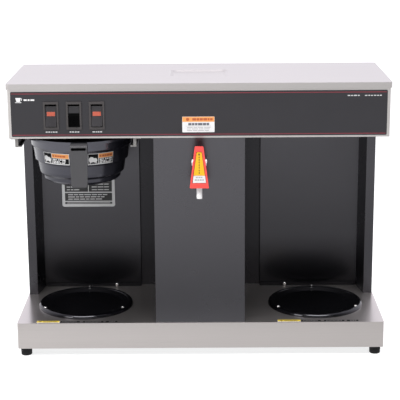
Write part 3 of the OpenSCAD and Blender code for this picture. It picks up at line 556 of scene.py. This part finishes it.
# Plate on the hood above the faucet: a white film with an orange header and rows of dashes
hood_plate_w, hood_plate_h = 51, 25
plate_start = (overlay_mid.x - 1 * MM, overlay_lo.y - plate_t, hood_lo.z + 9 * MM)
plate_face = flat_place(plate_start, (1, 0, 0), (0, 0, 1))
half = hood_plate_w / 2
header = rounded_bar(0.3 - half, 16.8, half - 0.3, hood_plate_h - 0.3, 0.8)
printed("hood_plate_header", plate_face, [header], label_orange, "housing")
header_dashes = dashes(-9.5, 18.9, (6, 4, 5, 6, 3, 4), 3.8, 0.8) + [disc(-17, 20.8, 2.6)]
printed("hood_plate_header_dashes", plate_face, header_dashes, label_rust, "housing", ON_FILM)
rows = dashes(-16, 11.2, (5, 4, 4, 7, 5, 4), 3.8, 0.8)
printed("hood_plate_title", plate_face, rows, label_slate, "housing")
rows = [bar(-20, 9.8, 20, 10.2)]
for v, lengths in ((7.4, (9, 6, 8, 10)), (4.9, (6, 10, 7, 9)), (2.4, (8, 7, 9, 7))):
    rows += dashes(-18, v, lengths, 1.0, 1.3)
printed("hood_plate_dashes", plate_face, rows, label_grey, "housing")

# Strips along the front edge of the tray, one before each warmer
strip_w, strip_d = 38, 8
STRIP_BLOCKS = ((0.8, 3.6), (28, 33), (38.5, 42), (68, 72), (76, 81.5), (91.5, 95))
STRIP_ROWS = ((5, (4, 7, 3, 5)), (43.5, (6, 3, 7, 4)), (83, (3, 3)))
for side, start in (("left", plate_lo.x), ("right", plate_hi.x - strip_w * MM)):
    strip = flat_place((start, front + 3 * MM, tray_hi.z + plate_t), (1, 0, 0), (0, 1, 0))
    block = rounded_bar(0.2, 0.2, strip_w - 0.2, strip_d - 0.2, 0.8)
    printed(f"tray_strip_{side}_block", strip, [block], label_lemon, "housing")
    mark = [disc(6, 4, 2.3)] + dashes(11, 2.4, (4.4, 3.4, 5, 3.4, 2.4), 3.2, 0.8)
    printed(f"tray_strip_{side}_mark", strip, mark, label_olive, "housing", ON_FILM)
    blocks = [bar(strip_w + u0, 1.2, strip_w + u1, 6.8) for u0, u1 in STRIP_BLOCKS]
    printed(f"tray_strip_{side}_blocks", strip, blocks, label_black, "housing", ON_TRAY)
    rows = []
    for u0, lengths in STRIP_ROWS:
        rows += dashes(strip_w + u0, 4.6, lengths, 1.6, 1.2)
        rows += dashes(strip_w + u0, 1.8, lengths[::-1], 1.6, 1.2)
    printed(f"tray_strip_{side}_rows", strip, rows, label_dark, "housing", ON_TRAY)

# Lever: a yellow field over a white one, with a dark red edge round both
lever_mid = middle("faucet_handle")
pivot_z = lever_lo.z + 39 * MM
lever_face = flat_place((lever_mid.x, lever_lo.y + plate_t, pivot_z), (1, 0, 0), (0, 0, 1))


def lever_field(v0, v1, w0, w1):
    """A field that narrows upwards, from half width w0 to w1."""
    return [(-w0, v0), (w0, v0), (w1, v1), (-w1, v1)]


LEVER_FIELDS = (
    ("edge", lever_field(-31.2, 19.9, 11.6, 4.6), label_crimson, LEVER_EDGE),
    ("white", lever_field(-30.2, -18.8, 10.5, 9.1), label_white, LEVER_FIELD),
    ("yellow", lever_field(-18.4, 18.9, 8.8, 3.7), label_yellow, LEVER_FIELD),
)
for part, field, material, layer in LEVER_FIELDS:
    printed("lever_label_" + part, lever_face, [field], material, "faucet_lever", layer)
marks = [disc(0, 15.4, 1.7)] + [bar(-0.9, v, 0.9, v + 2.6) for v in (9.5, 5.5, 1.5, -3, -7, -11.5, -15.5)]
printed("lever_label_marks", lever_face, marks, label_olive, "faucet_lever", LEVER_PRINT)
rows = dashes(-5.2, -22.2, (3, 3, 2.2), 1.8, 0.9) + dashes(-7.2, -26.6, (3.4, 2.6, 3.2, 2.4), 2.2, 0.9)
printed("lever_label_rows", lever_face, rows, label_grey, "faucet_lever", LEVER_PRINT)

# Plate behind the funnel: silver film with dark fields and silver rows
rating_face = flat_place((middle("rating_plate").x, rating_lo.y, rating_lo.z), (1, 0, 0), (0, 0, 1))
fields = [bar(-41.5, 5, 41.5, 8.6), bar(-41.5, 10.6, 41.5, 25)]
fields += [bar(-41.5, 27, -0.6, 73), bar(0.6, 27, 41.5, 73)]
printed("rating_fields", rating_face, fields, label_dark, "housing")
rows = [bar(-38, 6.3, 38, 7.3)]
for v, lengths in ((21, (9, 7, 8, 12, 9, 7, 8)), (17, (12, 6, 7, 9, 10, 5, 6)), (13, (8, 10, 9, 6, 8, 11))):
    rows += dashes(-36, v, lengths, 1.6, 1.5)
for v in range(30, 72, 5):
    rows += dashes(-38, v, (6, 4, 9), 1.5, 1.5) + dashes(6, v, (9, 10, 8), 1.5, 1.5)
printed("rating_rows", rating_face, rows, label_silver, "housing", ON_FILM)

# Two wrap-round labels on the funnel, either side of the grip. Its wall narrows downwards.
funnel_axis = (funnel_lo + funnel_hi) / 2
funnel_top = funnel_hi.z / MM
wall = cone_place(funnel_axis, funnel_top - 41, 77.2, funnel_top - 20.5, 79.8)
for side, (a, b) in (("left", (-62, -13)), ("right", (17, 62))):
    label = f"funnel_label_{side}_"
    wrapped(label + "base", wall, [(a, 0.9, b, 19.4)], label_white, "funnel", FUNNEL_BASE)
    wrapped(label + "header", wall, [(a + 18, 11.6, b - 0.8, 18.6)], label_orange, "funnel", FUNNEL_FIELD)
    fields = [(a + 0.8, 2.2, a + 17, 18.6), (a + 18, 2.2, b - 0.8, 11)]
    wrapped(label + "fields", wall, fields, label_black, "funnel", FUNNEL_FIELD)
    picture = [disc(a + 6, 9.4, 4.6), disc(a + 11.8, 8.2, 3.8), bar(a + 3, 3, a + 14.6, 5.4)]
    printed(label + "picture", wall, picture, label_white, "funnel", FUNNEL_PICTURE)
    rows = []
    for v, lengths, row_h in ((8, (4, 7, 3, 6), 2.2), (5.4, (6, 3, 8, 3), 1.7), (3, (5, 5, 3, 6), 1.7)):
        rows += dashes(a + 19.6, v, lengths, row_h, 1)
    printed(label + "rows", wall, rows, label_white, "funnel", FUNNEL_PRINT)
    marks = dashes(a + 24, 13.4, (4, 3, 4, 5), 3, 0.8) + [disc(a + 21, 14.9, 1.6)]
    printed(label + "marks", wall, marks, label_rust, "funnel", FUNNEL_PRINT)


# ---------------------------------------------------------------- light, floor and camera

# Painted shade and light of the floor as the machine reflects it: level close to the tray, then start, end and
# new level of each change with the distance from the tray in metres, and last start, end and factor of the
# painted shade to the right
PAINTED_FLOOR_CLOSE = 0.98
PAINTED_FLOOR_CHANGES = ((0.04, 0.12, 1.2), (0.13, 0.22, 0.54), (0.22, 1.1, 1.42))
PAINTED_FLOOR_RIGHT = (-0.5, 0.9, 0.76)

# The sky as the machine reflects it, in front and behind
SKY_FRONT = grey(0.08)
SKY_BEHIND = (1.2, 1.18, 1.27)


def pick_for_camera(tree, seen, other):
    """Chooses the first socket for what the camera sees directly, and the second for reflected light."""
    path = add_node(tree, "ShaderNodeLightPath")
    mixer = add_node(tree, "ShaderNodeMixShader")
    tree.links.new(path.outputs["Is Camera Ray"], mixer.inputs["Fac"])
    tree.links.new(other, mixer.inputs[1])
    tree.links.new(seen, mixer.inputs[2])
    return mixer.outputs["Shader"]


def studio_floor():
    """A plain white floor to the camera; to the machine, a glowing floor painted with shade and light, whose
    level changes with its distance.
    """
    mat, tree = new_material("studio_floor")
    place = object_coords(tree)
    unevenness = noise(tree, place, 3.0)
    white = finish_surface(
        tree, mix_colours(tree, unevenness, grey(0.46), grey(0.48)), 0.75,
        bump(tree, unevenness, 0.02, 0.001), Emission_Color=(1, 1, 1, 1), Emission_Strength=0.68,
    )
    beyond_tray = vector_math(tree, "SUBTRACT", vector_math(tree, "ABSOLUTE", place), (tray_hi.x, -front, 0))
    distance = vector_math(tree, "LENGTH", vector_math(tree, "MAXIMUM", beyond_tray, (0, 0, 0)))
    level = grey(PAINTED_FLOOR_CLOSE)
    for start, end, reached in PAINTED_FLOOR_CHANGES:
        level = mix_colours(tree, remap(tree, distance, 0, 1, start, end), level, grey(reached))
    start, end, reached = PAINTED_FLOOR_RIGHT
    side = mix_colours(tree, remap(tree, split(tree, place)["X"], 0, 1, start, end), grey(1), grey(reached))
    # To reflected light the floor glows with painted shade and light; lamps do not light it.
    reflected = add_node(tree, "ShaderNodeEmission")
    tree.links.new(vector_math(tree, "MULTIPLY", level, side), reflected.inputs["Color"])
    picked = pick_for_camera(tree, white.outputs["BSDF"], reflected.outputs["Emission"])
    output = next(node for node in tree.nodes if node.type == "OUTPUT_MATERIAL")
    tree.links.new(picked, output.inputs["Surface"])
    return mat


bpy.ops.mesh.primitive_plane_add(size=60, location=(0, 0, 0))
floor = bpy.context.object
floor.name = "floor"
floor.data.materials.append(studio_floor())


def studio_world():
    """White to the camera; to the machine, a soft sky that is cooler and brighter behind than in front."""
    world = bpy.data.worlds.new("studio")
    world.use_nodes = True
    tree = world.node_tree
    tree.nodes.clear()
    coords = add_node(tree, "ShaderNodeTexCoord")
    backward = remap(tree, split(tree, coords.outputs["Generated"])["Y"], 0, 1, -0.6, 0.3)
    sky = add_node(tree, "ShaderNodeBackground")
    tree.links.new(mix_colours(tree, backward, SKY_FRONT, SKY_BEHIND), sky.inputs["Color"])
    white = add_node(tree, "ShaderNodeBackground")
    white.inputs["Color"].default_value = (1, 1, 1, 1)
    output = add_node(tree, "ShaderNodeOutputWorld")
    picked = pick_for_camera(tree, white.outputs["Background"], sky.outputs["Background"])
    tree.links.new(picked, output.inputs["Surface"])
    return world


bpy.context.scene.world = studio_world()


def softbox(name, place, aim, size, power):
    data = bpy.data.lights.new(name, "AREA")
    data.shape = "RECTANGLE"
    data.size, data.size_y = size
    data.energy = power
    light = bpy.data.objects.new(name, data)
    light.location = place
    light.rotation_euler = (Vector(aim) - Vector(place)).to_track_quat("-Z", "Y").to_euler()
    bpy.context.scene.collection.objects.link(light)


softbox("key", (-1.5, -1.6, 1.6), (0, 0, 0.25), (0.9, 1.2), 20)
softbox("front", (0, -1.8, 2.6), (0, 0, 0.2), (4.4, 0.8), 100)
softbox("top", (0, -0.3, 2.4), (0, 0, 0.3), (1.6, 1.0), 20)

# Camera: about two metres before the machine, looking down on it
CAMERA_PLACE = Vector((0.0089, front - 1.9893, 0.7705))
CAMERA_TURN = (-0.3, 14.2, -0.4)        # to the right, down, and rolled, in degrees

camera_data = bpy.data.cameras.new("camera")
camera_data.sensor_width = 36
camera_data.lens = 115.05
camera_data.shift_x = 0.0035
camera_data.clip_end = 100
camera = bpy.data.objects.new("camera", camera_data)
bpy.context.scene.collection.objects.link(camera)
yaw, pitch, roll = (math.radians(a) for a in CAMERA_TURN)
forward = Vector((math.sin(yaw) * math.cos(pitch), math.cos(yaw) * math.cos(pitch), -math.sin(pitch)))
right = Vector((math.cos(yaw), -math.sin(yaw), 0))
up = right.cross(forward)
tilted_right = right * math.cos(roll) + up * math.sin(roll)
tilted_up = up * math.cos(roll) - right * math.sin(roll)
camera.matrix_world = Matrix((
    (tilted_right.x, tilted_up.x, -forward.x, CAMERA_PLACE.x),
    (tilted_right.y, tilted_up.y, -forward.y, CAMERA_PLACE.y),
    (tilted_right.z, tilted_up.z, -forward.z, CAMERA_PLACE.z),
    (0, 0, 0, 1),
))
bpy.context.scene.camera = camera
bpy.context.scene.view_settings.view_transform = "Standard"
